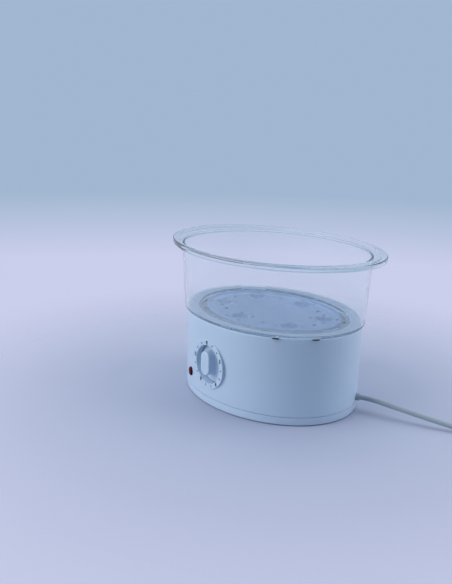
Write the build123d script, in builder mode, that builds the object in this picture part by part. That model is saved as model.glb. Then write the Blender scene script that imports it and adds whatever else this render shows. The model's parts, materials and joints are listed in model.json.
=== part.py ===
from build123d import *
import os
from math import cos, pi, radians, sin, sqrt, tan

# Oval egg cooker: a base with a heated water pan, a dial timer and a lamp, a clear
# bowl with a stepped flange that lifts off, an egg tray that lifts out, and a mains lead.
# Millimetres, +Z up, origin on the table under the middle of the oval, dial facing -Y.

os.makedirs("parts", exist_ok=True)

# Base oval and shell
base_a = 90.0            # half length of the oval, along X
base_b = 71.0            # half width of the oval, along Y
base_top = 76.0          # deck that the bowl stands on
seam_z = 7.8             # joint of housing and bottom cover
foot_height = 0.6        # air under the bottom cover
wall = 2.6               # housing and cover wall
cover_floor = 2.2        # bottom plate of the cover
deck_width = 10.0        # flat rim round the water pan
top_round = 0.5
cover_round = 1.0
seam_gap = 0.35          # shadow joint between housing and cover
seam_chamfer = 0.2
fit_gap = 0.3            # clearance between pieces that slide into each other

# Locating keys on the deck edge, and the bowl's notches
key_angles = (-32.5, 147.5)
key_span = 19.5          # degrees of the oval
key_height = 0.9
key_width = 2.4
notch_extra = 0.2        # the notch is deeper than the key by this
notch_side = 4.5         # the notch is longer by this at each end, in degrees

# Dial boss on the front, with a recess for the knob
dial_z = 38.0
dial_proud = 0.6         # boss face in front of the oval's widest point
dial_radius = 22.0
dial_round = 0.4
recess_radius = 17.3
recess_depth = 8.0
recess_floor = 2.0
cup_wall = 2.2
boss_depth = 6.6

# Knob and timer
knob_gap = 0.6           # round the knob, in the recess
knob_back_gap = 0.5
knob_thick = 2.5
knob_round = 1.6         # edge of the disc
grip_width = 12.6
grip_low = 9.5           # grip end below the centre
grip_high = 12.5         # grip end above the centre
grip_height = 8.4
grip_foot = 2.2          # hollow curve from the disc up to the grip
grip_edge_round = 1.2
shaft_diameter = 6.0
shaft_run_gap = 0.05     # radial, in the timer's bush
shaft_grip = 7.0         # length of shaft inside the knob
timer_size = 40.0
timer_depth = 18.0
timer_corner = 4.0
bell_radius = 12.0
bell_depth = 6.0
bell_sheet = 0.8
bell_post_radius = 2.5
timer_screw_pitch = 24.0
timer_tab = (6.3, 0.8, 8.0)
tab_space = 8.0
timer_bore = 10.0
timer_chamfer = 1.5
bell_stand = 1.5
bell_round = 3.0
shaft_flat = 4.5         # across the flat of the D-shaped end

# Pilot lamp
lamp_angle = 248.0       # place on the oval, degrees from +X
lamp_z = 20.0
lens_radius = 4.1
lens_proud = 1.8
lens_round = 1.5
lens_barrel = 3.2
lens_length = 9.0        # barrel behind the wall's outer face
lens_bore = 2.3
lamp_radius = 2.1
lamp_length = 8.0
collar_radius = 5.4
collar_thick = 2.4

# Water pan, seal and clips
sheet = 1.2
seal_thick = 1.2
flange_gap = 0.6         # pan's flange to the housing wall and its bosses
seal_gap = 0.4           # seal to those bosses
pan_depth = 12.2         # flange to floor, inside
pan_draft = 5.0          # the pan's floor is this much smaller all round
pan_round = 2.0
clip_angles = (14.0, 166.0, 194.0, 346.0)
clip_clear = 0.1         # clip screw's head to the housing wall
clip_short = 1.5         # clip end to the edge of the deck opening
clip_out = 1.6           # clip end towards the wall
clip_width = 8.0
clip_corner = 1.0
boss_radius = 2.3
pilot_radius = 1.3       # pilot hole of every small screw
screw_radius = 1.25
screw_length = 5.2       # clip and timer screws
head_radius = 2.0
head_height = 1.5

# Heating element, thermostat and bracket under the pan
tube_radius = 3.25
loop_inset = (40.0, 39.0)  # middle of the tube, in from the base oval at its ends and sides
loop_corner = 26.0
pin_space = 11.0         # half distance of the two ends
pin_drop = 15.0
pin_bend = 8.0
pin_radius = 1.2
pin_length = 8.0
stat_radius = 9.0
stat_height = 7.0
bracket_width = 14.0
bracket_reach = 24.0
bracket_foot = 9.0
bracket_gap = 1.5
stat_tab = (6.3, 0.8, 8.0)
stud_edge = 4.2          # stud to the bracket's end
stud_radius = 1.5
stud_length = 5.0
nut_radius = 3.2
nut_height = 2.4

# Bottom cover fastening
cover_screw_angles = (50.0, 130.0, 212.0, 328.0)
post_clear = 0.4         # cover posts to the housing wall
post_radius = 4.0
cover_post_radius = 3.0
head_sink = 1.6          # cover screw heads lie this deep
post_top = 34.0
post_gap = 1.5           # the posts stop this far above the seam
cover_screw_length = 14.0
feet_angles = (40.0, 140.0, 220.0, 320.0)
feet_inset = 16.0
foot_radius = 6.0
foot_sink = 1.0
foot_chamfer = 0.5
lip_height = 1.2
lip_thick = 1.8
vent_count = 7
vent_pitch = 7.0
vent_length = 36.0
vent_width = 2.6
vent_x = -14.0

# Clear bowl
bowl_gap = 0.8           # spigot in the deck opening
bowl_wall = 2.0
bowl_foot = 3.0          # thickness of the ring that stands on the deck
bowl_overhang = 2.5      # foot oval beyond the base oval
bowl_corner = 2.8
spigot_drop = 1.8
bowl_floor = 1.6
bowl_rise = 60.4         # deck to the flat ledge of the rim
bowl_flare = 3.8         # the ledge's inner edge beyond the base oval
ledge_width = (7.7, 4.2)  # ledge, at the ends and sides
step_height = 3.2
flange_width = (10.0, 2.8)  # flange outside the step, at the ends and sides
rim_thick = 2.2
rim_lip = 3.8            # height of the flange's outer edge
rim_round = 0.9
tray_seat = 4.0          # width of the ledge under the tray
slot_count = 16
slot_length = 5.0
slot_width = 1.4
slot_edge = 0.5          # slot end to the inside of the spigot

# Egg tray
tray_inset = (19.0, 17.5)  # tray edge in from the base oval, at its ends and sides
tray_thick = 1.4
tray_lip = 1.0
tray_lip_width = 1.5
seat_inset = (15.0, 16.5)  # oval through the seats' middles, in from the tray's edge
seat_angles = (33.0, 90.0, 147.0, 213.0, 270.0, 327.0)
between_angles = (0.0, 61.5, 118.5, 180.0, 241.5, 298.5)
seat_radius = 8.0
seat_bottom = 5.0
seat_depth = 3.0
drain_radius = 2.0
steam_radius = 1.2
steam_ring = 11.6
steam_count = 4
between_radius = 1.6     # steam holes midway between the seats

# Mains lead: gland, clamp, terminal block, free run, coil and plug
cord_diameter = 4.6
exit_angle = 28.0
exit_z = 11.7
gland_out = 3.2
gland_collar = 1.0       # this and the next three are thicknesses round the lead
gland_neck = 0.6
gland_inner = 2.0
gland_tip = 0.8
gland_stop = 3.0
gland_tail = 11.0
gland_bore_gap = 0.1
clamp_inward = 27.0
clamp_size = (24.0, 8.0)
clamp_height = 4.6
clamp_groove_gap = 0.05
clamp_pitch = 17.0
clamp_corner = 1.5
clamp_screw_length = 9.0
sheath_end = 36.0        # where the outer sheath is cut back, from the wall
block_inward = 54.0
block_size = (26.0, 15.0, 12.0)
block_pad = 2.6
block_pilot = 0.6        # the block's screw hole goes this deep into the cover
block_port = 7.0         # half distance of the two ways
core_radius = 1.1
core_space = 1.25        # half distance of the two cores in the sheath
core_bend = 3.0
core_entry = 2.5         # length of a core inside the terminal block
lead_radius = 1.0
lead_bend = 5.0
lead_straight = 7.0      # straight run of a lead at the terminal block
tab_lead_z = 13.5
tab_run = 13.2           # straight run of a lead at the timer's terminals
stat_run = 10.0          # and at the thermostat
pin_lead_z = 9.5
pin_lead_bend = 2.5
timer_lead_way = (14.0, -26.0, 13.5)
thermostat_lead_way = (-5.0, -30.0, 30.0)
fuse_lead_way = [(-3.0, 24.5, 22.0), (-6.0, 27.0, 9.0)]
return_lead_way = [(13.0, 8.0, 11.0), (11.0, 22.0, 9.5)]
fuse_radius = 2.2
fuse_length = 12.0
lamp_lead_radius = 1.1   # twin lead
lamp_lead_bend = 3.0
lamp_lead_z = 24.0
cord_straight = 9.0      # straight run of the lead out of the gland
air_route = [(110.0, 45.4, 10.7), (140.0, 58.6, 6.9)]
table_route = [(172.0, 75.2), (195.5, 88.3)]
arc_share = 0.45         # part of the shorter run that each bend takes up
coil_outer = 34.0        # middle of the outermost turn
turn_gap = 0.6           # between turns side by side
layer_gap = 0.5          # between the two layers
coil_in = 5              # half turns that spiral in, on the table
coil_out = 4             # half turns that spiral out, on top
coil_lead = 5.0
coil_tail = 36.0
sample_count = 500       # points along the coil that its gap is measured on
tie_width = 9.0
tie_bow = 1.0            # room for the turns' bow inside the tie
tie_thick = 0.8
tie_gap = 0.3
plug_width = 35.0
plug_length = 38.0
plug_neck = (12.0, 11.0)
plug_waist = (19.0, 13.0)
plug_waist_at = 15.0
plug_shoulder_at = 29.0
pin_tip = 1.2
plug_corner = 4.5
pin_pitch = 18.6
plug_pin_radius = 2.0
plug_pin_length = 19.0

# Worked-out places
cover_top = foot_height + cover_floor
cover_rim = seam_z - seam_gap
post_inset = wall + post_clear + cover_post_radius
clip_inset = wall + clip_clear + head_radius
clip_in = deck_width - clip_short - clip_inset
deck_under = base_top - wall
dial_y = base_b + dial_proud
pan_top = deck_under - seal_thick
clip_z = pan_top - sheet
pan_floor_z = pan_top - pan_depth
pan_under = pan_floor_z - sheet
foot_top = base_top + bowl_foot
bowl_floor_z = base_top - spigot_drop
tray_z = bowl_floor_z + bowl_floor
ledge_z = base_top + bowl_rise
step_z = ledge_z + step_height
ledge_a, ledge_b = base_a + bowl_flare, base_b + bowl_flare
step_a, step_b = ledge_a + ledge_width[0], ledge_b + ledge_width[1]
rim_a, rim_b = step_a + flange_width[0], step_b + flange_width[1]
tray_a, tray_b = base_a - tray_inset[0], base_b - tray_inset[1]
loop_a, loop_b = base_a - loop_inset[0], base_b - loop_inset[1]
cord_radius = cord_diameter / 2
gland_hole = cord_radius + gland_neck
coil_layer = cord_diameter + layer_gap
turn_step = (cord_diameter + turn_gap) / 2
post_bottom = seam_z + post_gap
stud_x = bracket_reach - stud_edge


def oval(inset):
    """Semi-axes of the base oval drawn in by inset."""
    return base_a - inset, base_b - inset


def wall_plane(angle, z, inset=0.0):
    """Plane on the base wall: normal out of the wall, local y up."""
    c, s = cos(radians(angle)), sin(radians(angle))
    normal = Vector(c / base_a, s / base_b, 0).normalized()
    point = Vector(base_a * c, base_b * s, z) - normal * inset
    return Plane(origin=point, x_dir=Vector(-normal.Y, normal.X, 0), z_dir=normal)


def flat_plane(angle, z, inset):
    """Level plane inside the wall: local y points out of the wall."""
    upright = wall_plane(angle, z, inset)
    return Plane(origin=upright.origin, x_dir=-upright.x_dir, z_dir=(0, 0, 1))


def moved(plane, x, y=0.0):
    """The same plane with its origin shifted along its own axes."""
    return Plane(origin=plane.from_local_coords((x, y, 0)), x_dir=plane.x_dir, z_dir=plane.z_dir)


def facing_down(plane):
    return Plane(origin=plane.origin, x_dir=plane.x_dir, z_dir=(0, 0, -1))


def add_screw(seat, length, mode=Mode.ADD):
    """Pan-head screw whose head sits on the plane, shank behind it."""
    with Locations(seat):
        Cylinder(head_radius, head_height, align=(Align.CENTER, Align.CENTER, Align.MIN), mode=mode)
        Cylinder(screw_radius, length, align=(Align.CENTER, Align.CENTER, Align.MAX), mode=mode)


def add_countersunk(seat, length, gap=0.0, mode=Mode.ADD):
    """Countersunk screw, or with a gap its hole, with the head flush with the plane."""
    top = (Align.CENTER, Align.CENTER, Align.MAX)
    with Locations(seat):
        Cone(screw_radius + gap, head_radius + gap, head_height, align=top, mode=mode)
        Cylinder(screw_radius + gap, length, align=top, mode=mode)


def add_pin(plane, radius, length, mode=Mode.ADD):
    """Round pin or hole that starts on the plane and runs along its normal."""
    with Locations(plane):
        Cylinder(radius, length, align=(Align.CENTER, Align.CENTER, Align.MIN), mode=mode)


def finish(builder, name):
    builder.part.label = name
    export_step(builder.part, f"parts/{name}.step")


def add_wire(points, radius, bend):
    """Round wire along straight runs joined by arcs."""
    with BuildLine() as route:
        FilletPolyline(*points, radius=bend)
    with BuildSketch(route.line ^ 0) as section:
        Circle(radius)
    sweep(section.sketch, path=route.line)


def key_sketch(outer, inner, extra):
    """Arc-shaped keys between two insets of the oval, each end longer by extra degrees."""
    Ellipse(*oval(outer))
    Ellipse(*oval(inner), mode=Mode.SUBTRACT)
    with BuildSketch(mode=Mode.PRIVATE) as wedges:
        for middle in key_angles:
            ends = [middle - key_span / 2 - extra, middle + key_span / 2 + extra]
            rays = [(2 * base_a * cos(radians(t)), 2 * base_b * sin(radians(t))) for t in ends]
            Polygon((0, 0), *rays, align=None)
    add(wedges.sketch, mode=Mode.INTERSECT)


def exit_point(x, along):
    """Point level with the lead's axis, x across it and along out of the wall."""
    return exit_plane.from_local_coords((x, 0, along))


def quarter_arc(start, end, tangent):
    """Arc of a quarter turn that leaves start along the tangent."""
    chord = end - start
    middle = start + (tangent * chord.length + chord) * (1 / (2 + sqrt(2)))
    ThreePointArc(tuple(start), tuple(middle), tuple(end))


dial_face = Plane(origin=(0, -dial_y, dial_z), x_dir=(1, 0, 0), z_dir=(0, -1, 0))
recess_plane = dial_face.offset(-recess_depth)
timer_front = recess_plane.offset(-recess_floor)
timer_back = timer_front.offset(-timer_depth)
lamp_plane = wall_plane(lamp_angle, lamp_z)
exit_plane = wall_plane(exit_angle, exit_z)
screw_seats = [flat_plane(t, foot_height, post_inset) for t in cover_screw_angles]
foot_seats = [flat_plane(t, 0, feet_inset) for t in feet_angles]
timer_screw_seats = [moved(recess_plane, side * timer_screw_pitch / 2) for side in (-1, 1)]
clip_seats = [flat_plane(t, clip_z, clip_inset) for t in clip_angles]
clamp_plane = flat_plane(exit_angle, cover_top, clamp_inward)
block_plane = flat_plane(exit_angle, cover_top, block_inward)
clamp_seats = [moved(clamp_plane.offset(exit_z - cover_top), side * clamp_pitch / 2) for side in (-1, 1)]
slot_a, slot_b = oval(deck_width + bowl_gap + bowl_wall + slot_edge + slot_length / 2)
slot_places = []
for i in range(slot_count):
    t = 2 * pi * (i + 0.5) / slot_count
    outward = Vector(slot_b * cos(t), slot_a * sin(t), 0)
    turn = Vector(1, 0, 0).get_signed_angle(outward)
    slot_places.append(Location((slot_a * cos(t), slot_b * sin(t), 0), (0, 0, turn)))

# Base housing: oval shell with its deck, dial boss, posts and keys
with BuildPart() as base_housing:
    with BuildSketch(Plane.XY.offset(seam_z)):
        Ellipse(base_a, base_b)
    extrude(amount=base_top - seam_z)
    fillet(base_housing.edges().group_by(Axis.Z)[-1], top_round)
    chamfer(base_housing.edges().group_by(Axis.Z)[0], seam_chamfer)
    with BuildSketch(Plane.XY.offset(seam_z)):
        Ellipse(*oval(wall))
    extrude(amount=deck_under - seam_z, mode=Mode.SUBTRACT)
    with BuildSketch(Plane.XY.offset(deck_under)):
        Ellipse(*oval(deck_width))
    extrude(amount=wall, mode=Mode.SUBTRACT)
    with BuildSketch(Plane.XY.offset(base_top)):
        key_sketch(0, key_width, 0)
    extrude(amount=key_height)
    for seat in screw_seats:
        add_pin(seat.offset(post_bottom - foot_height), post_radius, post_top - post_bottom)
    for seat in clip_seats:
        add_pin(seat, boss_radius, deck_under - clip_z)
    with BuildSketch(dial_face):
        Circle(dial_radius)
    extrude(amount=-boss_depth)
    fillet(base_housing.edges().group_by(Axis.Y)[0], dial_round)
    with BuildSketch(dial_face.offset(-boss_depth)):
        Circle(recess_radius + cup_wall)
    extrude(amount=boss_depth - recess_depth - recess_floor)
    with BuildSketch(dial_face):
        Circle(recess_radius)
    extrude(amount=-recess_depth, mode=Mode.SUBTRACT)
    add_pin(recess_plane.offset(-recess_floor), shaft_diameter / 2 + fit_gap, recess_floor, Mode.SUBTRACT)
    for seat in timer_screw_seats:
        add_countersunk(seat, 2 * recess_floor, fit_gap / 3, Mode.SUBTRACT)
    add_pin(lamp_plane.offset(-2 * wall), lens_barrel + fit_gap / 3, 3 * wall, Mode.SUBTRACT)
    add_pin(exit_plane.offset(-2 * wall), gland_hole + fit_gap / 3, 3 * wall, Mode.SUBTRACT)
    for seat in screw_seats:
        add_pin(seat.offset(post_bottom - foot_height), pilot_radius, cover_screw_length, Mode.SUBTRACT)
    for seat in clip_seats:
        add_pin(seat, pilot_radius, screw_length - sheet, Mode.SUBTRACT)
finish(base_housing, "base_housing")

# Bottom cover: shallow oval tray with a locating lip, posts, vents and the cord saddle
with BuildPart() as bottom_cover:
    with BuildSketch(Plane.XY.offset(foot_height)):
        Ellipse(base_a, base_b)
    extrude(amount=cover_rim - foot_height)
    fillet(bottom_cover.edges().group_by(Axis.Z)[0], cover_round)
    chamfer(bottom_cover.edges().group_by(Axis.Z)[-1], seam_chamfer)
    with BuildSketch(Plane.XY.offset(cover_rim)):
        Ellipse(*oval(wall + fit_gap))
    extrude(amount=seam_gap + lip_height)
    with BuildSketch(Plane.XY.offset(cover_top)):
        Ellipse(*oval(wall + fit_gap + lip_thick))
    extrude(amount=seam_z + lip_height - cover_top, mode=Mode.SUBTRACT)
    for seat in screw_seats:
        add_pin(seat, cover_post_radius, post_bottom - foot_height)
    with BuildSketch(clamp_plane):
        Rectangle(*clamp_size)
    extrude(amount=exit_z - cover_top)
    with BuildSketch(block_plane):
        Rectangle(block_size[0] / 2, block_size[1] / 2)
    extrude(amount=block_pad)
    add_pin(exit_plane.offset(-sheath_end), cord_radius + clamp_groove_gap, sheath_end, Mode.SUBTRACT)
    add_pin(exit_plane.offset(-wall - gland_stop - gland_tail), cord_radius + gland_inner + fit_gap,
            wall + gland_stop + gland_tail, Mode.SUBTRACT)
    for seat in screw_seats:
        add_pin(seat, head_radius + fit_gap, head_sink, Mode.SUBTRACT)
        add_pin(seat, screw_radius + fit_gap, post_bottom - foot_height, Mode.SUBTRACT)
    for seat in foot_seats:
        add_pin(seat, foot_radius + fit_gap / 3, foot_height + foot_sink, Mode.SUBTRACT)
    with Locations(*clamp_seats):
        Cylinder(pilot_radius, 2 * clamp_screw_length, mode=Mode.SUBTRACT)
    add_pin(block_plane.offset(-block_pilot), pilot_radius, block_pad + block_pilot, Mode.SUBTRACT)
    with BuildSketch(Plane.XY.offset(foot_height)):
        with Locations((vent_x, 0)):
            with GridLocations(0, vent_pitch, 1, vent_count):
                SlotOverall(vent_length, vent_width)
    extrude(amount=cover_floor, mode=Mode.SUBTRACT)
finish(bottom_cover, "bottom_cover")

# Rubber feet pressed into the cover
for i, seat in enumerate(foot_seats, 1):
    with BuildPart() as rubber_foot:
        add_pin(seat, foot_radius, foot_height + foot_sink)
        chamfer(rubber_foot.edges().group_by(Axis.Z)[0], foot_chamfer)
    finish(rubber_foot, f"rubber_foot_{i}")

# Screws that hold the cover to the housing
for i, seat in enumerate(screw_seats, 1):
    with BuildPart() as cover_screw:
        add_screw(facing_down(seat.offset(head_sink)), cover_screw_length)
    finish(cover_screw, f"cover_screw_{i}")

# Water pan: pressed oval dish that hangs under the deck
with BuildPart() as water_pan:
    with BuildSketch(Plane.XY.offset(clip_z)):
        Ellipse(*oval(wall + flange_gap))
    extrude(amount=sheet)
    for seat in clip_seats:
        add_pin(seat, boss_radius + flange_gap, sheet, Mode.SUBTRACT)
    with BuildSketch(Plane.XY.offset(pan_under)):
        Ellipse(*oval(deck_width + pan_draft - sheet))
    with BuildSketch(Plane.XY.offset(pan_top)):
        Ellipse(*oval(deck_width - sheet))
    loft(ruled=True)
    fillet(water_pan.edges().group_by(Axis.Z)[0], pan_round + sheet)
    with BuildSketch(Plane.XY.offset(pan_floor_z)):
        Ellipse(*oval(deck_width + pan_draft))
    with BuildSketch(Plane.XY.offset(pan_top)):
        Ellipse(*oval(deck_width))
    loft(ruled=True, mode=Mode.SUBTRACT)
    for side in (-1, 1):
        with Locations((side * stud_x, 0, pan_under)):
            Cylinder(stud_radius, stud_length, align=(Align.CENTER, Align.CENTER, Align.MAX))
finish(water_pan, "water_pan")

# Silicone seal between pan and deck
with BuildPart() as pan_seal:
    with BuildSketch(Plane.XY.offset(pan_top)):
        Ellipse(*oval(clip_inset + boss_radius + seal_gap))
        Ellipse(*oval(deck_width), mode=Mode.SUBTRACT)
    extrude(amount=seal_thick)
finish(pan_seal, "pan_seal")

# Spring-steel clips that clamp the pan's flange, with their screws
for i, seat in enumerate(clip_seats, 1):
    with BuildPart() as pan_clip:
        with BuildSketch(seat):
            with Locations((0, (clip_out - clip_in) / 2)):
                RectangleRounded(clip_width, clip_out + clip_in, clip_corner)
            Circle(screw_radius + fit_gap, mode=Mode.SUBTRACT)
        extrude(amount=-sheet)
    finish(pan_clip, f"pan_clip_{i}")
    with BuildPart() as clip_screw:
        add_screw(facing_down(seat.offset(-sheet)), screw_length)
    finish(clip_screw, f"clip_screw_{i}")

# Tubular heating element brazed under the pan: an open loop, its ends turned down to their pins
loop_z = pan_under - tube_radius
pin_z = loop_z - pin_drop
with BuildPart() as heating_element:
    with BuildLine() as loop:
        FilletPolyline((-pin_space, loop_b, pin_z), (-pin_space, loop_b, loop_z), (-loop_a, loop_b, loop_z),
                       (-loop_a, -loop_b, loop_z), (loop_a, -loop_b, loop_z), (loop_a, loop_b, loop_z),
                       (pin_space, loop_b, loop_z), (pin_space, loop_b, pin_z),
                       radius=[pin_bend] + 4 * [loop_corner] + [pin_bend])
    with BuildSketch(loop.line ^ 0):
        Circle(tube_radius)
    sweep()
    with Locations((-pin_space, loop_b, pin_z), (pin_space, loop_b, pin_z)):
        Cylinder(pin_radius, pin_length, align=(Align.CENTER, Align.CENTER, Align.MAX))
finish(heating_element, "heating_element")

# Disc thermostat pressed to the pan by a hat-shaped bracket on two studs
stat_z = pan_under - stat_height
with BuildPart() as thermostat:
    with Locations((0, 0, stat_z)):
        Cylinder(stat_radius, stat_height, align=(Align.CENTER, Align.CENTER, Align.MIN))
        Box(stat_tab[0], 2 * (stat_radius + stat_tab[2]), stat_tab[1],
            align=(Align.CENTER, Align.CENTER, Align.MIN))
finish(thermostat, "thermostat")

with BuildPart() as thermostat_bracket:
    with BuildSketch(Plane.XZ):
        with BuildLine():
            Polyline((bracket_reach, pan_under), (bracket_reach - bracket_foot, pan_under),
                     (stat_radius + bracket_gap, stat_z), (0, stat_z), (0, stat_z - sheet),
                     (stat_radius + bracket_gap + sheet, stat_z - sheet),
                     (bracket_reach - bracket_foot + sheet, pan_under - sheet),
                     (bracket_reach, pan_under - sheet), close=True)
        make_face()
        mirror(about=Plane.YZ)
    extrude(amount=bracket_width / 2, both=True)
    for side in (-1, 1):
        with Locations((side * stud_x, 0, pan_under)):
            Cylinder(stud_radius + fit_gap / 3, 4 * sheet, mode=Mode.SUBTRACT)
finish(thermostat_bracket, "thermostat_bracket")

for i, side in enumerate((-1, 1), 1):
    with BuildPart() as bracket_nut:
        with BuildSketch(Plane.XY.offset(pan_under - sheet)):
            with Locations((side * stud_x, 0)):
                RegularPolygon(nut_radius, 6)
                Circle(stud_radius + shaft_run_gap, mode=Mode.SUBTRACT)
        extrude(amount=-nut_height)
    finish(bracket_nut, f"bracket_nut_{i}")

# Clockwork timer behind the dial, its bell, terminals and screws
with BuildPart() as timer_case:
    with BuildSketch(timer_front):
        RectangleRounded(timer_size, timer_size, timer_corner)
    extrude(amount=-timer_depth)
    chamfer(timer_case.edges().group_by(Axis.Y)[-1], timer_chamfer)
    add_pin(timer_front.offset(-timer_bore), shaft_diameter / 2 + shaft_run_gap, timer_bore, Mode.SUBTRACT)
    for seat in timer_screw_seats:
        add_pin(seat.offset(-recess_floor - screw_length), pilot_radius, screw_length, Mode.SUBTRACT)
finish(timer_case, "timer_case")

with BuildPart() as timer_bell:
    with BuildSketch(timer_back.offset(-bell_stand)):
        Circle(bell_radius)
    extrude(amount=-bell_depth)
    fillet(timer_bell.edges().group_by(Axis.Y)[-1], bell_round)
    offset(amount=-bell_sheet, openings=timer_bell.faces().sort_by(Axis.Y)[0])
    with BuildSketch(timer_back):
        Circle(bell_post_radius)
    extrude(amount=-bell_stand - bell_depth)
finish(timer_bell, "timer_bell")

tab_y = timer_front.origin.Y + timer_depth / 2
timer_low = dial_z - timer_size / 2
for i, side in enumerate((-1, 1), 1):
    with BuildPart() as timer_terminal:
        with Locations((side * tab_space, tab_y, timer_low)):
            Box(*timer_tab, align=(Align.CENTER, Align.CENTER, Align.MAX))
    finish(timer_terminal, f"timer_terminal_{i}")

for i, seat in enumerate(timer_screw_seats, 1):
    with BuildPart() as timer_screw:
        add_countersunk(seat, recess_floor + screw_length)
    finish(timer_screw, f"timer_screw_{i}")

# Knob: a disc in the recess with a raised grip on a hollow-curved foot
knob_face = recess_plane.offset(knob_back_gap + knob_thick)
with BuildPart() as knob:
    with BuildSketch(knob_face):
        Circle(recess_radius - knob_gap)
    extrude(amount=-knob_thick)
    fillet(knob.edges().group_by(Axis.Y)[0], knob_round)
    with BuildSketch(knob_face):
        with Locations((0, (grip_high - grip_low) / 2)):
            SlotOverall(grip_high + grip_low, grip_width, rotation=90)
    extrude(amount=grip_height)
    fillet(knob.edges().group_by(Axis.Y)[0], grip_edge_round)
    level_edges = knob.edges().filter_by_position(Axis.Y, knob_face.origin.Y, knob_face.origin.Y)
    fillet(level_edges.sort_by(SortBy.LENGTH)[:-1], grip_foot)
    with BuildSketch(knob_face.offset(-knob_thick)):
        Circle(shaft_diameter / 2 + shaft_run_gap)
        with Locations((0, -shaft_diameter)):
            Rectangle(2 * shaft_diameter, 2 * (shaft_diameter - shaft_flat), mode=Mode.SUBTRACT)
    extrude(amount=shaft_grip, mode=Mode.SUBTRACT)
finish(knob, "knob")

with BuildPart() as timer_shaft:
    with BuildSketch(knob_face.offset(-knob_thick)):
        Circle(shaft_diameter / 2)
        with Locations((0, -shaft_diameter)):
            Rectangle(2 * shaft_diameter, 2 * (shaft_diameter - shaft_flat + shaft_run_gap), mode=Mode.SUBTRACT)
    extrude(amount=shaft_grip - fit_gap)
    with BuildSketch(knob_face.offset(-knob_thick)):
        Circle(shaft_diameter / 2)
    extrude(amount=-knob_back_gap - recess_floor - timer_bore + fit_gap)
finish(timer_shaft, "timer_shaft")

# Pilot lamp: red lens through the wall, lamp inside it, push-on collar behind
with BuildPart() as pilot_lens:
    add_pin(lamp_plane, lens_radius, lens_proud)
    fillet(pilot_lens.faces().sort_by(Axis(lamp_plane.origin, lamp_plane.z_dir))[-1].edges(), lens_round)
    add_pin(lamp_plane.offset(-lens_length), lens_barrel, lens_length)
    add_pin(lamp_plane.offset(-lens_length), lens_bore, lamp_length - fit_gap, Mode.SUBTRACT)
finish(pilot_lens, "pilot_lens")

with BuildPart() as neon_lamp:
    add_pin(lamp_plane.offset(-lens_length - fit_gap), lamp_radius, lamp_length)
finish(neon_lamp, "neon_lamp")

with BuildPart() as lamp_collar:
    with BuildSketch(lamp_plane.offset(-wall - fit_gap)):
        Circle(collar_radius)
        Circle(lens_barrel + shaft_run_gap, mode=Mode.SUBTRACT)
    extrude(amount=-collar_thick)
finish(lamp_collar, "lamp_collar")

# Clear bowl: drafted oval wall, stepped flange, foot ring, spigot and slotted floor ring
with BuildPart() as steam_bowl:
    with BuildSketch(Plane.XY.offset(base_top)):
        Ellipse(*oval(-bowl_overhang))
    with BuildSketch(Plane.XY.offset(ledge_z)):
        Ellipse(ledge_a + bowl_wall, ledge_b + bowl_wall)
    loft(ruled=True)
    fillet(steam_bowl.edges().group_by(Axis.Z)[0], bowl_corner)
    with BuildSketch(Plane.XY.offset(ledge_z - rim_thick)):
        Ellipse(step_a + rim_thick, step_b + rim_thick)
    extrude(amount=step_height + rim_thick)
    with BuildSketch(Plane.XY.offset(step_z - rim_lip)):
        Ellipse(rim_a, rim_b)
    extrude(amount=rim_lip)
    fillet(steam_bowl.edges().group_by(Axis.Z)[-1], rim_round)
    with BuildSketch(Plane.XY.offset(step_z - rim_lip)):
        Ellipse(rim_a - rim_thick, rim_b - rim_thick)
        Ellipse(step_a + rim_thick, step_b + rim_thick, mode=Mode.SUBTRACT)
    extrude(amount=rim_lip - rim_thick, mode=Mode.SUBTRACT)
    with BuildSketch(Plane.XY.offset(ledge_z)):
        Ellipse(step_a, step_b)
    extrude(amount=step_height, mode=Mode.SUBTRACT)
    with BuildSketch(Plane.XY.offset(foot_top)):
        Ellipse(*oval(bowl_wall - bowl_overhang))
    with BuildSketch(Plane.XY.offset(ledge_z)):
        Ellipse(ledge_a, ledge_b)
    loft(ruled=True, mode=Mode.SUBTRACT)
    with BuildSketch(Plane.XY.offset(bowl_floor_z)):
        Ellipse(*oval(deck_width + bowl_gap))
    extrude(amount=spigot_drop)
    with BuildSketch(Plane.XY.offset(tray_z)):
        Ellipse(*oval(deck_width + bowl_gap + bowl_wall))
    extrude(amount=foot_top - tray_z, mode=Mode.SUBTRACT)
    with BuildSketch(Plane.XY.offset(bowl_floor_z)):
        Ellipse(tray_a - tray_seat, tray_b - tray_seat)
        with Locations(*slot_places):
            SlotOverall(slot_length, slot_width)
    extrude(amount=bowl_floor, mode=Mode.SUBTRACT)
    with BuildSketch(Plane.XY.offset(base_top)):
        key_sketch(-2 * bowl_overhang, key_width + fit_gap, notch_side)
    extrude(amount=key_height + notch_extra, mode=Mode.SUBTRACT)
finish(steam_bowl, "steam_bowl")

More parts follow.
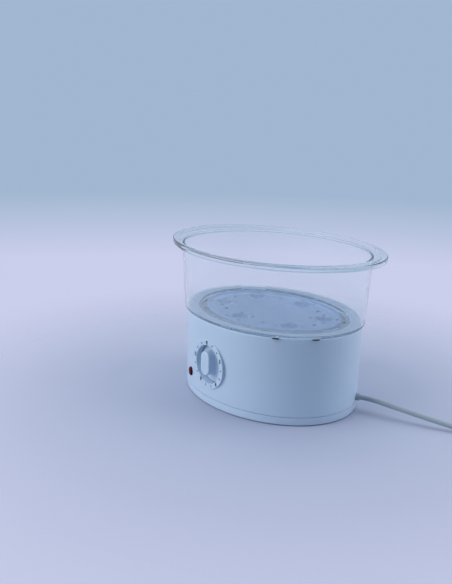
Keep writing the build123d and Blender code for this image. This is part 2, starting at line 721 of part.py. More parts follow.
# Clear egg tray with six dished seats, drains and steam holes
seat_a, seat_b = tray_a - seat_inset[0], tray_b - seat_inset[1]
seats = [(seat_a * cos(radians(t)), seat_b * sin(radians(t))) for t in seat_angles]
with BuildPart() as egg_tray:
    with BuildSketch(Plane.XY.offset(tray_z)):
        Ellipse(tray_a, tray_b)
    extrude(amount=tray_thick + tray_lip)
    with BuildSketch(Plane.XY.offset(tray_z + tray_thick)):
        Ellipse(tray_a - tray_lip_width, tray_b - tray_lip_width)
    extrude(amount=tray_lip, mode=Mode.SUBTRACT)
    with Locations(*[(x, y, tray_z) for x, y in seats]):
        Cone(seat_bottom + tray_thick, seat_radius + tray_thick, seat_depth,
             align=(Align.CENTER, Align.CENTER, Align.MAX))
    with Locations(*[(x, y, tray_z + tray_thick) for x, y in seats]):
        Cone(seat_bottom, seat_radius, seat_depth, align=(Align.CENTER, Align.CENTER, Align.MAX),
             mode=Mode.SUBTRACT)
        Cylinder(drain_radius, 4 * seat_depth, mode=Mode.SUBTRACT)
        with PolarLocations(steam_ring, steam_count, start_angle=45):
            Cylinder(steam_radius, 4 * tray_thick, mode=Mode.SUBTRACT)
    with Locations(*[(seat_a * cos(radians(t)), seat_b * sin(radians(t)), tray_z) for t in between_angles]):
        Cylinder(between_radius, 4 * tray_thick, mode=Mode.SUBTRACT)
finish(egg_tray, "egg_tray")

# Cord gland: collar outside, neck in the wall, stop and tapered tail inside
gland_back = wall + fit_gap
with BuildPart() as cord_gland:
    add_pin(exit_plane, cord_radius + gland_collar, gland_out)
    add_pin(exit_plane.offset(-gland_back), gland_hole, gland_back)
    add_pin(exit_plane.offset(-gland_back - gland_stop), cord_radius + gland_inner, gland_stop)
    with Locations(exit_plane.offset(-gland_back - gland_stop)):
        Cone(cord_radius + gland_tip, cord_radius + gland_inner, gland_tail,
             align=(Align.CENTER, Align.CENTER, Align.MAX))
    with Locations(exit_plane):
        Cylinder(cord_radius + gland_bore_gap, 2 * sheath_end, mode=Mode.SUBTRACT)
finish(cord_gland, "cord_gland")

# The lead inside the base: sheath, clamp bar, terminal block and cores
with BuildPart() as cord_sheath:
    add_pin(exit_plane.offset(-sheath_end), cord_radius, sheath_end + gland_out)
finish(cord_sheath, "cord_sheath")

with BuildPart() as cord_clamp:
    with BuildSketch(clamp_plane.offset(exit_z - cover_top)):
        RectangleRounded(*clamp_size, clamp_corner)
    extrude(amount=clamp_height)
    add_pin(exit_plane.offset(-sheath_end), cord_radius + clamp_groove_gap, sheath_end, Mode.SUBTRACT)
    with Locations(*clamp_seats):
        Cylinder(screw_radius + fit_gap, 3 * clamp_height, mode=Mode.SUBTRACT)
finish(cord_clamp, "cord_clamp")

for i, seat in enumerate(clamp_seats, 1):
    with BuildPart() as clamp_screw:
        add_screw(seat.offset(clamp_height), clamp_screw_length)
    finish(clamp_screw, f"clamp_screw_{i}")

block_far = block_inward + block_size[1] / 2
block_near = block_inward - block_size[1] / 2
with BuildPart() as terminal_block:
    with BuildSketch(block_plane.offset(block_pad)):
        RectangleRounded(block_size[0], block_size[1], clamp_corner)
    extrude(amount=block_size[2])
    for side in (-1, 1):
        port = moved(exit_plane.offset(-block_far), side * block_port)
        add_pin(port, core_radius + fit_gap, block_size[1], Mode.SUBTRACT)
    with Locations(block_plane):
        Cylinder(screw_radius + fit_gap, 4 * block_size[2], mode=Mode.SUBTRACT)
finish(terminal_block, "terminal_block")

with BuildPart() as block_screw:
    add_screw(block_plane.offset(block_pad + block_size[2]), block_size[2] + block_pad + block_pilot / 2)
finish(block_screw, "block_screw")

for i, side in enumerate((-1, 1), 1):
    with BuildPart() as cord_core:
        add_wire([exit_point(side * core_space, -sheath_end),
                  exit_point(side * core_space, -sheath_end - core_bend),
                  exit_point(side * block_port, -block_near + core_bend / 2),
                  exit_point(side * block_port, -block_near - core_entry)], core_radius, core_bend)
    finish(cord_core, f"cord_core_{i}")

# Inner leads: block to timer, timer to thermostat, thermostat by the fuse to the element, and back
port_in = -block_far + core_entry
port_out = -block_far - lead_straight
tab_face = tab_y + timer_tab[1] / 2
stat_tab_z = stat_z + stat_tab[1] / 2
stat_tab_y = stat_radius + stat_tab[2]
pin_low = pin_z - pin_length
with BuildPart() as timer_lead:
    add_wire([exit_point(-block_port, port_in), exit_point(-block_port, port_out), timer_lead_way,
              (tab_space, tab_face + tab_run, tab_lead_z), (tab_space, tab_face, tab_lead_z)],
             lead_radius, lead_bend)
finish(timer_lead, "timer_lead")

with BuildPart() as thermostat_lead:
    add_wire([(-tab_space, tab_face, tab_lead_z), (-tab_space, tab_face + tab_run, tab_lead_z),
              thermostat_lead_way, (0, -stat_tab_y - stat_run, stat_tab_z), (0, -stat_tab_y, stat_tab_z)],
             lead_radius, lead_bend)
finish(thermostat_lead, "thermostat_lead")

with BuildPart() as thermal_fuse:
    with Locations((-pin_space, loop_b, pin_low)):
        Cylinder(fuse_radius, fuse_length, align=(Align.CENTER, Align.CENTER, Align.MAX))
finish(thermal_fuse, "thermal_fuse")

with BuildPart() as fuse_lead:
    add_wire([(0, stat_tab_y, stat_tab_z), (0, stat_tab_y + stat_run / 2, stat_tab_z), *fuse_lead_way,
              (-pin_space, loop_b, pin_lead_z), (-pin_space, loop_b, pin_low - fuse_length)],
             lead_radius, pin_lead_bend)
finish(fuse_lead, "fuse_lead")

with BuildPart() as return_lead:
    add_wire([exit_point(block_port, port_in), exit_point(block_port, port_out), *return_lead_way,
              (pin_space, loop_b, pin_lead_z), (pin_space, loop_b, pin_low)], lead_radius, pin_lead_bend)
finish(return_lead, "return_lead")

lamp_back = -lens_length - fit_gap
timer_side = -timer_size / 2
with BuildPart() as lamp_lead:
    add_wire([lamp_plane.from_local_coords((0, 0, lamp_back)),
              lamp_plane.from_local_coords((0, 0, lamp_back - lead_bend)),
              (timer_side - lead_bend, tab_y, lamp_lead_z), (timer_side, tab_y, lamp_lead_z)],
             lamp_lead_radius, lamp_lead_bend)
finish(lamp_lead, "lamp_lead")

# Free run of the lead, from the gland down to the table
route_points = [exit_point(0, gland_out), exit_point(0, gland_out + cord_straight)]
route_points += [Vector(*point) for point in air_route]
route_points += [Vector(x, y, cord_radius) for x, y in table_route]
route_radii = []
for before, corner, after in zip(route_points, route_points[1:], route_points[2:]):
    turn = (corner - before).get_angle(after - corner)
    shorter = min((corner - before).length, (after - corner).length)
    route_radii.append(arc_share * shorter / tan(radians(turn / 2)))
print("cord radii", [round(radius, 1) for radius in route_radii])
with BuildPart() as power_cord:
    with BuildLine() as route:
        FilletPolyline(*route_points, radius=route_radii)
    with BuildSketch(route.line ^ 0):
        Circle(cord_radius)
    sweep()
route_length = route.wire().length
print("cord volume ratio", round(power_cord.part.volume / (pi * cord_radius**2 * route_length), 4))
finish(power_cord, "power_cord")

# The rest of the lead, wound into a two-layer coil: in on the table, up, and out on top
heading = (route_points[-1] - route_points[-2]).normalized()
coil_plane = Plane(origin=route_points[-1], x_dir=heading, z_dir=(0, 0, 1))
inner_radius = coil_outer - coil_in * turn_step
with BuildPart() as cord_coil:
    with BuildLine(coil_plane) as turns:
        Line((0, 0), (coil_lead, 0))
        y = 0.0
        for i in range(coil_in):
            radius = coil_outer - i * turn_step
            side = 1 if i % 2 == 0 else -1
            ThreePointArc((coil_lead, y), (coil_lead + side * radius, y + side * radius),
                          (coil_lead, y + side * 2 * radius))
            y += side * 2 * radius
        side = 1 if coil_in % 2 == 0 else -1
        reach = sqrt(inner_radius**2 + coil_layer**2 / 4)
        crest = Vector(coil_lead + side * reach, y + side * inner_radius, coil_layer / 2)
        quarter_arc(Vector(coil_lead, y), crest, Vector(side, 0, 0))
        y += side * 2 * inner_radius
        quarter_arc(Vector(coil_lead, y, coil_layer), crest, Vector(side, 0, 0))
        for i in range(coil_out):
            radius = inner_radius + (i + 1) * turn_step
            side = 1 if (coil_in + i) % 2 == 1 else -1
            ThreePointArc((coil_lead, y, coil_layer), (coil_lead + side * radius, y + side * radius, coil_layer),
                          (coil_lead, y + side * 2 * radius, coil_layer))
            y += side * 2 * radius
        Line((coil_lead, y, coil_layer), (coil_lead + coil_tail, y, coil_layer))
    with BuildSketch(turns.line ^ 0):
        Circle(cord_radius)
    sweep()
coil_length = turns.wire().length
samples = [turns.wire() @ (i / sample_count) for i in range(sample_count + 1)]
apart = round(3 * cord_diameter / coil_length * sample_count)
gaps = [(samples[j] - samples[i]).length - cord_diameter
        for i in range(sample_count) for j in range(i + apart, sample_count + 1)]
print("coil gap", round(min(gaps), 2), "coil volume ratio",
      round(cord_coil.part.volume / (pi * cord_radius**2 * coil_length), 4))
print("lead length", round(route_length + coil_length, 1))
finish(cord_coil, "cord_coil")

# Clip over one side of the coil that keeps the turns together
tie_plane = Plane(origin=coil_plane.from_local_coords((coil_lead, 0, -cord_radius)),
                  x_dir=coil_plane.y_dir, z_dir=coil_plane.x_dir)
tie_high = 2 * coil_outer + cord_radius + tie_gap
tie_low = 2 * coil_outer - (coil_in - 1) * turn_step - cord_radius - tie_bow
tie_top = cord_diameter + coil_layer + tie_gap
with BuildPart() as cord_tie:
    with BuildSketch(tie_plane):
        with BuildLine():
            Polyline((tie_low, tie_gap), (tie_low, tie_top), (tie_high, tie_top), (tie_high, tie_gap),
                     (tie_high + tie_thick, tie_gap), (tie_high + tie_thick, tie_top + tie_thick),
                     (tie_low - tie_thick, tie_top + tie_thick), (tie_low - tie_thick, tie_gap), close=True)
        make_face()
    extrude(amount=tie_width / 2, both=True)
finish(cord_tie, "cord_tie")

# Flat two-pin plug on the end of the lead, lying on the table
plug_height = 2 * (cord_radius + coil_layer)
plug_plane = Plane(origin=coil_plane.from_local_coords((coil_lead + coil_tail, y, coil_layer)),
                   x_dir=coil_plane.y_dir, z_dir=coil_plane.x_dir)
with BuildPart() as plug_body:
    for at, size in ((0, plug_neck), (plug_waist_at, plug_waist), (plug_shoulder_at, (plug_width, plug_height)),
                     (plug_length, (plug_width, plug_height))):
        with BuildSketch(plug_plane.offset(at)):
            RectangleRounded(*size, plug_corner)
    loft(ruled=True)
finish(plug_body, "plug_body")

plug_axis = Axis(plug_plane.origin, plug_plane.z_dir)
for i, side in enumerate((-1, 1), 1):
    with BuildPart() as plug_pin:
        add_pin(moved(plug_plane.offset(plug_length), side * pin_pitch / 2), plug_pin_radius, plug_pin_length)
        fillet(plug_pin.faces().sort_by(plug_axis)[-1].edges(), pin_tip)
    finish(plug_pin, f"plug_pin_{i}")
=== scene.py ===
import json
from math import cos, pi, radians, sin

import bmesh
import bpy
from mathutils import Matrix, Vector


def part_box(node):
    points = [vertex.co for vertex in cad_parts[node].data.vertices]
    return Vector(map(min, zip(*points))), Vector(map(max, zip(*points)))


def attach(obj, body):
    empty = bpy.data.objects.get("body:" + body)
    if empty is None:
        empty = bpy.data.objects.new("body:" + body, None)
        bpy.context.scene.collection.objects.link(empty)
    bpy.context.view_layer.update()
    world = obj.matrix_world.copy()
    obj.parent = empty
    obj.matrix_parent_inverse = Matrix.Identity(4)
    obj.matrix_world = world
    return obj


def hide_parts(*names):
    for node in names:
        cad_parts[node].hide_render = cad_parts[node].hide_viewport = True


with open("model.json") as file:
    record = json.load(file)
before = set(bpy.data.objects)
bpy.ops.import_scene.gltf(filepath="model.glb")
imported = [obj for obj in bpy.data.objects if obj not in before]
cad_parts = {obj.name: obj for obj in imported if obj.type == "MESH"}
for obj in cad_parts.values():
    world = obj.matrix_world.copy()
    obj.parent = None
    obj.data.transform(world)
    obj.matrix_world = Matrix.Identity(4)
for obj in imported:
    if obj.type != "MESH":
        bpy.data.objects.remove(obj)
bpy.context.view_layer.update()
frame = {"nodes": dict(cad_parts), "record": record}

MM = 0.001
UP = (0, 0, 1)

# Camera, fitted to the photograph of 452 x 584 pixels
FRAME_HEIGHT = 584
FOCAL_PIXELS = 710.1
SENSOR = 36.0
NEAREST = 0.01           # nothing nearer than this is seen, in metres
CAMERA_EYE = Vector((478.7, -410.2, 255.2)) * MM
CAMERA_RIGHT = Vector((0.5926, 0.8052, 0.0235))
CAMERA_UP = Vector((-0.2149, 0.1299, 0.9679))

# Mains lead: route from the gland to the coil, then the coil's turns, in millimetres
CORD_DIAMETER = 4.6
CORD_ROUTE = [(82.12, 35.12, 11.7), (89.58, 40.15, 11.7), (110.0, 45.4, 10.7), (140.0, 58.6, 6.9),
              (172.0, 75.2, 2.3), (195.5, 88.3, 2.3)]
CORD_STEPS = 6           # pieces of the curve between two of its points
CORD_ROUNDING = 5        # how finely its section is rounded
COIL_OUTER = 34.0        # radius of the first half turn
COIL_STEP = 2.6          # each half turn is this much tighter or wider
COIL_LAYER = 5.1         # height of the upper turns above the lower ones
COIL_IN = 5              # half turns that spiral in, then one that climbs, then those that spiral out
COIL_OUT = 4
COIL_LEAD = 5.0          # straight run before the first half turn
COIL_TAIL = 36.0         # straight run from the last half turn to the plug
HALF_TURN_POINTS = 8

# Dark blocks as painted shade in the gaps at both ends of the keys on the deck, between base and bowl, in
# millimetres and degrees
BASE_HALF = (90.0, 71.0)
DECK = 76.0
KEY_ANGLES = (-32.5, 147.5)
GAP_SHADE_TURN = 12.0       # from a key's middle to the middle of a shade block, round the oval
GAP_SHADE_SIZE = (5.6, 3.8, 0.8)
GAP_SHADE_ROUNDING = 0.25
GAP_SHADE_OUT = 0.5         # from the edge of the deck out to the middle of a shade block
GAP_SHADE_SUNK = 0.15

# Dial face on the front of the base, in millimetres and degrees
DIAL_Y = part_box("base_housing")[0].y / MM
DIAL_Z = 38.0
DIAL_RING = 19.4         # radius of the marks
DIAL_NUMBERS = ("0", "3", "6", "9", "12")
DIAL_START = -5          # place of the first number, clockwise from the top
DIAL_TURN = 72           # from one number to the next, clockwise
TICKS_BETWEEN = 2
TICK_SIZE = (0.9, 1.8)
TICK_ROUNDING = 0.02
NUMBER_HEIGHT = 3.2
FONT_SIZE = NUMBER_HEIGHT * 1.4  # figures are lower than the size of their font
NUMBER_STEPS = 4         # pieces in each curve of a figure
NUMBER_BOLD = 0.24       # the strokes are thickened by this all round
NUMBER_NARROW = 0.62     # width of a numeral of two figures
INK = 0.05               # the print stands out by this, and reaches as far in

# Surface of the finishes: features per metre, reliefs in metres, and multiples of a colour or roughness
NOISE_RANGE = (0.3, 0.7)  # most of a noise lies between these
MOTTLE = 35
MOULD_SHADES = (0.97, 1.03)
MOULD_GLOSS = 220
MOULD_ROUGHNESS = (0.88, 1.12)
MOULD_GRAIN = 900
MOULD_RELIEF = 0.00002
COAT_ROUGHNESS = 0.12
METAL_STREAKS = 400
METAL_SHADES = (0.86, 1.08)
METAL_ROUGHNESS = (0.8, 1.25)
METAL_RELIEF = 0.00001
CLEAR_GLOSS = 60
CLEAR_ROUGHNESS = (0.6, 1.4)
CLEAR_WAVES = 30
CLEAR_RELIEF = 0.00004

# Painted shade: the walls of slots and holes in the clear mouldings get a dark colour, darker than the rest
SLOT_WALL_PAINTED_SHADE = (0.012, 0.018, 0.035)
OVAL_SLOPE = (0.62, 1.0, 0.0)  # outward direction on the oval, from x and y
CROSSING = (0.35, 0.55)  # a wall that faces along the oval by more than this crosses it
UPRIGHT = (0.1, 0.2)     # a wall that faces up or down by less than this is upright
WALL_FADE = 0.0002
BOWL_SLOTS_TOP = (DECK - 0.1) * MM  # just under the deck
TRAY_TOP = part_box("egg_tray")[1].z
BOWL_TINT = (0.70, 0.82, 0.85)  # seen through the thickness of the bowl

MOULDED = {
    "white_plastic": dict(colour=(0.54, 0.645, 0.785), roughness=0.36, coat=0.15),
    "black_plastic": dict(colour=(0.02, 0.02, 0.022), roughness=0.5),
    "red_lens": dict(colour=(0.055, 0.0008, 0.006), roughness=0.4, relief=0.00001, gloss=0.08),
    "seal_silicone": dict(colour=(0.21, 0.31, 0.52), roughness=0.6),
    "foot_rubber": dict(colour=(0.022, 0.026, 0.034), roughness=0.85, relief=0.00006, gloss=0.1),
    "cord_white": dict(colour=(0.37, 0.425, 0.475), roughness=0.46),
    "gland_grey": dict(colour=(0.36, 0.41, 0.48), roughness=0.6),
    "tie_black": dict(colour=(0.03, 0.03, 0.032), roughness=0.5),
    "core_brown": dict(colour=(0.12, 0.05, 0.025), roughness=0.5),
    "lead_sleeve": dict(colour=(0.62, 0.59, 0.52), roughness=0.85, grain=2400, relief=0.0001),
    "dial_ink": dict(colour=(0.003, 0.008, 0.03), roughness=0.7, gloss=0.05),
}
METALS = {
    "pan_aluminium": dict(colour=(0.21, 0.27, 0.38), roughness=0.5, stretch=(1, 12, 1)),
    "zinc_steel": dict(colour=(0.62, 0.63, 0.66), roughness=0.32),
    "element_sheath": dict(colour=(0.30, 0.28, 0.27), roughness=0.45, stretch=(1, 1, 6)),
    "bell_steel": dict(colour=(0.75, 0.75, 0.77), roughness=0.18),
    "tinned_brass": dict(colour=(0.76, 0.69, 0.50), roughness=0.3),
    "plug_brass": dict(colour=(0.80, 0.74, 0.58), roughness=0.22),
    "fuse_metal": dict(colour=(0.55, 0.50, 0.44), roughness=0.35),
}
CLEAR = {
    "clear_plastic": dict(colour=(0.955, 0.965, 0.978), roughness=0.02, ior=1.28, shadow=(0.97, 0.98, 0.99),
                          clarity=0.96, painted_shade_below=BOWL_SLOTS_TOP, density=26),
    "tray_plastic": dict(colour=(0.55, 0.655, 0.83), roughness=0.08, ior=1.4, shadow=(0.80, 0.85, 0.92),
                         clarity=0.82, painted_shade_below=TRAY_TOP),
    "lamp_glass": dict(colour=(0.98, 0.86, 0.76), roughness=0.03, ior=1.5, shadow=(0.9, 0.8, 0.7)),
}

# Stage and light, in metres and watts
FLOOR_RADIUS = 3.0
FLOOR_CORNERS = 64
FLOOR_FADE = (0.1, 0.42)  # the floor passes into the background between these distances
FLOOR_PAPER = (0.45, 0.475, 0.605)
PAPER_SHADES = (0.99, 1.01)
PAPER_ROUGHNESS = 0.7
BACKGROUND_LOW = (0.59, 0.62, 0.83)
BACKGROUND_HIGH = (0.36, 0.475, 0.64)
BACKGROUND_RISE = (-0.2, -0.115)  # heights of the line of sight between which one passes into the other
FILL_COLOUR = (0.42, 0.70, 1.0)
FILL_STRENGTH = 0.25
LAMP_COLOUR = (0.94, 0.97, 1.0)
LAMP_TARGET = Vector((0, 0, 0.07))
SOFTBOXES = {
    "left_box": dict(place=(-0.45, -1.2, 0.65), size=(1.1, 1.4), power=14.3),
    "right_box": dict(place=(0.88, 1.05, 0.6), size=(1.1, 1.4), power=11.5),
    "top_box": dict(place=(-0.35, 0.3, 1.6), size=(2.0, 2.0), power=15),
}


def new_piece(name, data, finish, body):
    """Links a mesh or curve that is already in place as a piece that rides on a body."""
    piece = bpy.data.objects.new(name, data)
    bpy.context.scene.collection.objects.link(piece)
    data.materials.append(finish)
    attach(piece, body)
    return piece


def mesh_from(bm, name):
    mesh = bpy.data.meshes.new(name)
    bm.to_mesh(mesh)
    bm.free()
    return mesh


def add_block(bm, place, size, rounding, segments):
    """Adds a block with rounded edges; its size and rounding are in millimetres."""
    shape = place @ Matrix.Scale(MM, 4) @ Matrix.Diagonal((*size, 1))
    block = bmesh.ops.create_cube(bm, size=1, matrix=shape)
    edges = dict.fromkeys(edge for vert in block["verts"] for edge in vert.link_edges)
    bmesh.ops.bevel(bm, geom=list(edges), offset=rounding * MM, segments=segments, profile=0.5, material=-1,
                    affect="EDGES")


# Shader nodes

def set_inputs(tree, node, inputs):
    """Links each input to the socket that is given for it, or sets it to the value."""
    for name, value in inputs.items():
        if isinstance(value, bpy.types.NodeSocket):
            tree.links.new(value, node.inputs[name])
        else:
            node.inputs[name].default_value = value


def new_node(tree, kind, inputs=None, **settings):
    node = tree.nodes.new("ShaderNode" + kind)
    for name, value in settings.items():
        setattr(node, name, value)
    set_inputs(tree, node, inputs or {})
    return node


def noise(tree, scale, detail=3.0, stretch=(1, 1, 1)):
    """Noise on the piece's own coordinates; scale is in features per metre."""
    coords = new_node(tree, "TexCoord")
    mapping = new_node(tree, "Mapping", {"Vector": coords.outputs["Object"], "Scale": stretch})
    place = mapping.outputs["Vector"]
    return new_node(tree, "TexNoise", {"Vector": place, "Scale": scale, "Detail": detail}).outputs["Fac"]


def ramp(tree, value, low, high, start=0.0, end=1.0, easing="LINEAR"):
    """Passes from start to end while a value goes from low to high."""
    limits = {"From Min": low, "From Max": high, "To Min": start, "To Max": end}
    return new_node(tree, "MapRange", {"Value": value, **limits}, interpolation_type=easing).outputs["Result"]


def shade(tree, value, first, second):
    """Passes from one colour to another while a value goes from 0 to 1."""
    mix = new_node(tree, "Mix", {"Factor": value, "A": (*first, 1), "B": (*second, 1)}, data_type="RGBA")
    return mix.outputs["Result"]


def mottled(tree, value, colour, shades):
    """The colour between two multiples of it, by a noise value."""
    dark, pale = ([min(1, part * factor) for part in colour] for factor in shades)
    return shade(tree, value, dark, pale)


def uneven(tree, value, roughness, factors):
    """The roughness between two multiples of it, by a noise value."""
    smooth, rough = (roughness * factor for factor in factors)
    return ramp(tree, value, *NOISE_RANGE, smooth, rough)


def bump(tree, value, height):
    """Surface relief of that height in metres."""
    return new_node(tree, "Bump", {"Height": value, "Distance": height}).outputs["Normal"]


def vector_math(tree, operation, *values):
    """A product or the like of vectors, each a socket or a constant."""
    node = new_node(tree, "VectorMath", dict(enumerate(values)), operation=operation)
    return node.outputs["Value" if operation in ("DOT_PRODUCT", "LENGTH") else "Vector"]


def number_math(tree, operation, *values):
    """A product or the like of one or two numbers."""
    return new_node(tree, "Math", dict(enumerate(values)), operation=operation).outputs["Value"]


def mix_shaders(tree, share, first, second, output):
    """Sends two shaders to an output; share is how much the second counts."""
    mix = new_node(tree, "MixShader", {"Fac": share, 1: first.outputs[0], 2: second.outputs[0]})
    set_inputs(tree, tree.nodes[output], {"Surface": mix.outputs["Shader"]})


# Finishes

def blank_material(name):
    """A material, its node tree and the Principled shader in it."""
    material = bpy.data.materials.new(name)
    material.use_nodes = True
    return material, material.node_tree, material.node_tree.nodes["Principled BSDF"]


def moulded(name, colour, roughness, grain=MOULD_GRAIN, relief=MOULD_RELIEF, coat=0.0, gloss=0.5):
    """Moulded plastic or rubber: faint mottling, a fine grain and uneven gloss."""
    material, tree, shader = blank_material(name)
    set_inputs(tree, shader, {
        "Base Color": mottled(tree, noise(tree, MOTTLE), colour, MOULD_SHADES),
        "Roughness": uneven(tree, noise(tree, MOULD_GLOSS), roughness, MOULD_ROUGHNESS),
        "Normal": bump(tree, noise(tree, grain, detail=2.0), relief),
        "Specular IOR Level": gloss,
        "Coat Weight": coat,
        "Coat Roughness": COAT_ROUGHNESS,
    })
    return material


def metal(name, colour, roughness, stretch=(1, 1, 1)):
    """Metal with drawn or brushed streaks and a slightly uneven tone."""
    material, tree, shader = blank_material(name)
    streaks = noise(tree, METAL_STREAKS, detail=4.0, stretch=stretch)
    set_inputs(tree, shader, {
        "Metallic": 1.0,
        "Base Color": mottled(tree, streaks, colour, METAL_SHADES),
        "Roughness": uneven(tree, streaks, roughness, METAL_ROUGHNESS),
        "Normal": bump(tree, streaks, METAL_RELIEF),
    })
    return material


def painted_slot_shade_mask(tree, below):
    """Mask of painted shade: 1 on upright walls that cross the oval, such as those of slots and holes, lower
    than a height.
    """
    coords = new_node(tree, "TexCoord")
    place = coords.outputs["Object"]
    facing = coords.outputs["Normal"]
    outward = vector_math(tree, "MULTIPLY", place, OVAL_SLOPE)
    along = vector_math(tree, "NORMALIZE", vector_math(tree, "CROSS_PRODUCT", outward, UP))
    across = number_math(tree, "ABSOLUTE", vector_math(tree, "DOT_PRODUCT", facing, along))
    slope = number_math(tree, "ABSOLUTE", vector_math(tree, "DOT_PRODUCT", facing, UP))
    height = vector_math(tree, "DOT_PRODUCT", place, UP)
    crossing = ramp(tree, across, *CROSSING)
    upright = ramp(tree, slope, *UPRIGHT, start=1.0, end=0.0)
    low = ramp(tree, height, below - WALL_FADE, below, start=1.0, end=0.0)
    return number_math(tree, "MULTIPLY", number_math(tree, "MULTIPLY", crossing, upright), low)


def clear(name, colour, roughness, ior, shadow, clarity=1.0, painted_shade_below=None, density=0.0):
    """Clear or hazy moulding that lets light from the lamps reach what is behind it.

    Its shadow has a colour, the walls of its slots and holes get a painted shade below a height in metres,
    and where it has a density, it is tinted by its thickness."""
    material, tree, shader = blank_material(name)
    if painted_shade_below is None:
        shader.inputs["Base Color"].default_value = (*colour, 1)
    else:
        # painted shade: a dark colour on the walls of slots and holes below the height
        set_inputs(tree, shader, {"Base Color": shade(tree, painted_slot_shade_mask(tree, painted_shade_below), colour, SLOT_WALL_PAINTED_SHADE)})
    set_inputs(tree, shader, {
        "Transmission Weight": clarity,
        "IOR": ior,
        "Roughness": uneven(tree, noise(tree, CLEAR_GLOSS), roughness, CLEAR_ROUGHNESS),
        "Normal": bump(tree, noise(tree, CLEAR_WAVES, detail=2.0), CLEAR_RELIEF),
    })
    rays = new_node(tree, "LightPath")
    pass_light = new_node(tree, "BsdfTransparent", {"Color": (*shadow, 1)})
    mix_shaders(tree, rays.outputs["Is Shadow Ray"], shader, pass_light, "Material Output")
    if density:
        inside = new_node(tree, "VolumeAbsorption", {"Color": (*BOWL_TINT, 1), "Density": density})
        set_inputs(tree, tree.nodes["Material Output"], {"Volume": inside.outputs["Volume"]})
    return material


finishes = {}
for make_finish, looks in ((moulded, MOULDED), (metal, METALS), (clear, CLEAR)):
    for finish_name, look in looks.items():
        finishes[finish_name] = make_finish(finish_name, **look)
for part in frame["record"]["subparts"]:
    for slot in frame["nodes"][part["node"]].material_slots:
        slot.material = finishes[part["material_slot"]]


# Pieces

def coil_points(start, heading):
    """The coil's control points: half turns on the table, one that climbs, and half turns on top."""
    left = Vector((-heading.y, heading.x, 0))
    points = []
    across = 0.0
    for i in range(COIL_IN + 1 + COIL_OUT):
        inward = min(i, 2 * COIL_IN - i)
        radius = COIL_OUTER - inward * COIL_STEP
        side = 1 if i % 2 == 0 else -1
        reach = radius / cos(pi / 2 / HALF_TURN_POINTS)
        for k in range(HALF_TURN_POINTS):
            share = (k + 0.5) / HALF_TURN_POINTS
            climb = min(max(i - COIL_IN + share, 0), 1)
            x = COIL_LEAD + side * reach * sin(pi * share)
            y = across + side * (radius - reach * cos(pi * share))
            points.append(start + heading * x + left * y + Vector((0, 0, climb * COIL_LAYER)))
        across += side * 2 * radius
    points.append(start + heading * (COIL_LEAD + COIL_TAIL) + left * across + Vector((0, 0, COIL_LAYER)))
    return points


def make_cord():
    route = [Vector(point) for point in CORD_ROUTE]
    heading = (route[-1] - route[-2]).normalized()
    points = [point * MM for point in route + coil_points(route[-1], heading)]
    curve = bpy.data.curves.new("mains_cord", "CURVE")
    curve.dimensions = "3D"
    spline = curve.splines.new("NURBS")
    spline.points.add(len(points) - 1)
    for control, point in zip(spline.points, points):
        control.co = (*point, 1)
    spline.order_u = 3
    spline.use_endpoint_u = True
    spline.resolution_u = CORD_STEPS
    curve.bevel_depth = CORD_DIAMETER / 2 * MM
    curve.bevel_resolution = CORD_ROUNDING
    cord = new_piece("mains_cord", curve, finishes["cord_white"], "base")
    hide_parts("power_cord", "cord_coil")


# Painted shade: dark blocks at both ends of the keys stand for the shadow in the gaps there
def make_key_gap_shades():
    bm = bmesh.new()
    height = DECK - GAP_SHADE_SUNK + GAP_SHADE_SIZE[2] / 2
    for angle in (radians(key + turn) for key in KEY_ANGLES for turn in (-GAP_SHADE_TURN, GAP_SHADE_TURN)):
        edge = Vector((BASE_HALF[0] * cos(angle), BASE_HALF[1] * sin(angle), height))
        out = Vector((BASE_HALF[1] * cos(angle), BASE_HALF[0] * sin(angle), 0)).normalized()
        turned = Matrix((Vector((-out.y, out.x, 0)), -out, Vector(UP))).transposed().to_4x4()
        place = Matrix.Translation((edge + out * GAP_SHADE_OUT) * MM) @ turned
        add_block(bm, place, GAP_SHADE_SIZE, GAP_SHADE_ROUNDING, segments=3)
    # the dark rubber finish gives these blocks their painted shade
    piece = new_piece("key_gap_shades", mesh_from(bm, "key_gap_shades"), finishes["foot_rubber"], "base")


def dial_place(angle):
    """Stands a flat XY shape upright among the dial's marks, at a clockwise angle from the top."""
    x = DIAL_RING * sin(radians(angle))
    z = DIAL_Z + DIAL_RING * cos(radians(angle))
    return Matrix.Translation(Vector((x, DIAL_Y, z)) * MM) @ Matrix.Rotation(pi / 2, 4, "X")


def number_mesh(text):
    """A numeral as a mesh in millimetres, centred, with the thickness of print."""
    curve = bpy.data.curves.new("numeral", "FONT")
    curve.body = text
    curve.size = FONT_SIZE
    curve.align_x = "CENTER"
    curve.align_y = "CENTER"
    curve.resolution_u = NUMBER_STEPS
    curve.extrude = INK
    curve.offset = NUMBER_BOLD
    holder = bpy.data.objects.new("numeral", curve)
    bpy.context.scene.collection.objects.link(holder)
    bpy.context.view_layer.update()
    mesh = bpy.data.meshes.new_from_object(holder.evaluated_get(bpy.context.evaluated_depsgraph_get()))
    bpy.data.objects.remove(holder)
    bpy.data.curves.remove(curve)
    return mesh


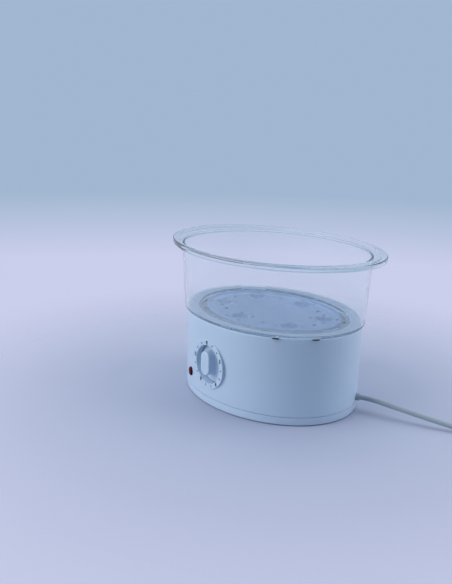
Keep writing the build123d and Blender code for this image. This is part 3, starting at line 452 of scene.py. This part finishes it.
def make_dial_print():
    bm = bmesh.new()
    number_angles = [DIAL_START + i * DIAL_TURN for i in range(len(DIAL_NUMBERS))]
    for angle, text in zip(number_angles, DIAL_NUMBERS):
        mesh = number_mesh(text)
        width = NUMBER_NARROW if len(text) > 1 else 1
        mesh.transform(dial_place(angle) @ Matrix.Scale(MM, 4) @ Matrix.Diagonal((width, 1, 1, 1)))
        bm.from_mesh(mesh)
        bpy.data.meshes.remove(mesh)
    tick_turn = DIAL_TURN / (TICKS_BETWEEN + 1)
    for angle in (start + k * tick_turn for start in number_angles for k in range(1, TICKS_BETWEEN + 1)):
        turned = dial_place(angle) @ Matrix.Rotation(radians(-angle), 4, "Z")
        add_block(bm, turned, (*TICK_SIZE, 2 * INK), TICK_ROUNDING, segments=1)
    piece = new_piece("dial_print", mesh_from(bm, "dial_print"), finishes["dial_ink"], "base")


make_cord()
make_key_gap_shades()
make_dial_print()


# Stage, light and camera

def floor_paper():
    """Pale paper that thins out away from the object until only the background is left."""
    material, tree, shader = blank_material("floor_paper")
    set_inputs(tree, shader, {
        "Base Color": mottled(tree, noise(tree, MOTTLE), FLOOR_PAPER, PAPER_SHADES),
        "Roughness": PAPER_ROUGHNESS,
    })
    coords = new_node(tree, "TexCoord")
    distance = vector_math(tree, "LENGTH", coords.outputs["Object"])
    fade = ramp(tree, distance, *FLOOR_FADE, easing="SMOOTHSTEP")
    mix_shaders(tree, fade, shader, new_node(tree, "BsdfTransparent"), "Material Output")
    return material


def make_floor():
    bm = bmesh.new()
    bmesh.ops.create_circle(bm, cap_ends=True, segments=FLOOR_CORNERS, radius=FLOOR_RADIUS)
    floor = bpy.data.objects.new("floor", mesh_from(bm, "floor"))
    bpy.context.scene.collection.objects.link(floor)
    floor.data.materials.append(floor_paper())


def make_background():
    """A world that fills the shadows, and is seen as a backdrop that darkens upwards."""
    world = bpy.data.worlds.new("studio")
    world.use_nodes = True
    tree = world.node_tree
    fill = tree.nodes["Background"]
    set_inputs(tree, fill, {"Color": (*FILL_COLOUR, 1), "Strength": FILL_STRENGTH})
    coords = new_node(tree, "TexCoord")
    height = vector_math(tree, "DOT_PRODUCT", coords.outputs["Generated"], UP)
    backdrop = shade(tree, ramp(tree, height, *BACKGROUND_RISE), BACKGROUND_LOW, BACKGROUND_HIGH)
    seen = new_node(tree, "Background", {"Color": backdrop})
    rays = new_node(tree, "LightPath").outputs
    direct = number_math(tree, "MAXIMUM", rays["Is Camera Ray"], rays["Is Glossy Ray"])
    share = number_math(tree, "MAXIMUM", direct, rays["Is Transmission Ray"])
    mix_shaders(tree, share, fill, seen, "World Output")
    bpy.context.scene.world = world


def add_softbox(name, place, size, power):
    lamp = bpy.data.lights.new(name, "AREA")
    lamp.shape = "RECTANGLE"
    lamp.size, lamp.size_y = size
    lamp.energy = power
    lamp.color = LAMP_COLOUR
    holder = bpy.data.objects.new(name, lamp)
    holder.location = place
    holder.rotation_euler = (LAMP_TARGET - Vector(place)).to_track_quat("-Z", "Y").to_euler()
    holder.visible_transmission = False
    bpy.context.scene.collection.objects.link(holder)


def make_camera():
    data = bpy.data.cameras.new("camera")
    data.sensor_fit = "VERTICAL"
    data.sensor_height = SENSOR
    data.lens = FOCAL_PIXELS * SENSOR / FRAME_HEIGHT
    data.clip_start = NEAREST
    camera = bpy.data.objects.new("camera", data)
    back = CAMERA_RIGHT.cross(CAMERA_UP)
    turned = Matrix((CAMERA_RIGHT, CAMERA_UP, back)).transposed()
    camera.matrix_world = Matrix.Translation(CAMERA_EYE) @ turned.to_4x4()
    bpy.context.scene.collection.objects.link(camera)
    bpy.context.scene.camera = camera


make_floor()
make_background()
for box_name, box in SOFTBOXES.items():
    add_softbox(box_name, **box)
make_camera()
bpy.context.scene.view_settings.view_transform = "Standard"
